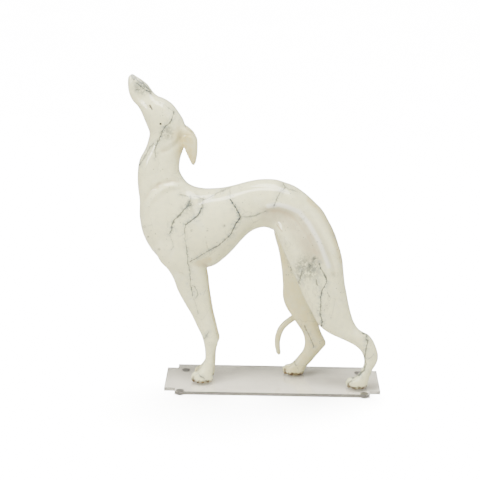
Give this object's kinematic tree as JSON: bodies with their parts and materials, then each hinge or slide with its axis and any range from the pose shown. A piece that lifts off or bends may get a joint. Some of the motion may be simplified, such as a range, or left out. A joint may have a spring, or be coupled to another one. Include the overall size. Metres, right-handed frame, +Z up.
{
  "type": "greyhound statue",
  "caption": "Ivory resin statue of a standing greyhound with its nose raised, on a clear acrylic base with notched corners and small round pads.",
  "frame": {"origin": "on the surface that the pads stand on, below the middle of the whole bounding box, which lies 32 mm ahead of the base's own middle because the nose hangs out past the base", "axes": "+Z up, the greyhound faces -X, and the side that the picture shows faces -Y"},
  "size_m": [0.4363, 0.147, 0.5423],
  "materials": {
    "ivory_resin": "polished ivory cast resin with thin grey stone-like veins",
    "clear_acrylic": "clear polished acrylic sheet",
    "dark_rubber": "matte dark rubber"
  },
  "bodies": {
    "root": {"greyhound": "ivory_resin", "acrylic_base": "clear_acrylic", "pad_front_left": "dark_rubber", "pad_front_right": "dark_rubber", "pad_back_left": "dark_rubber", "pad_back_right": "dark_rubber"}
  },
  "joints": []
}
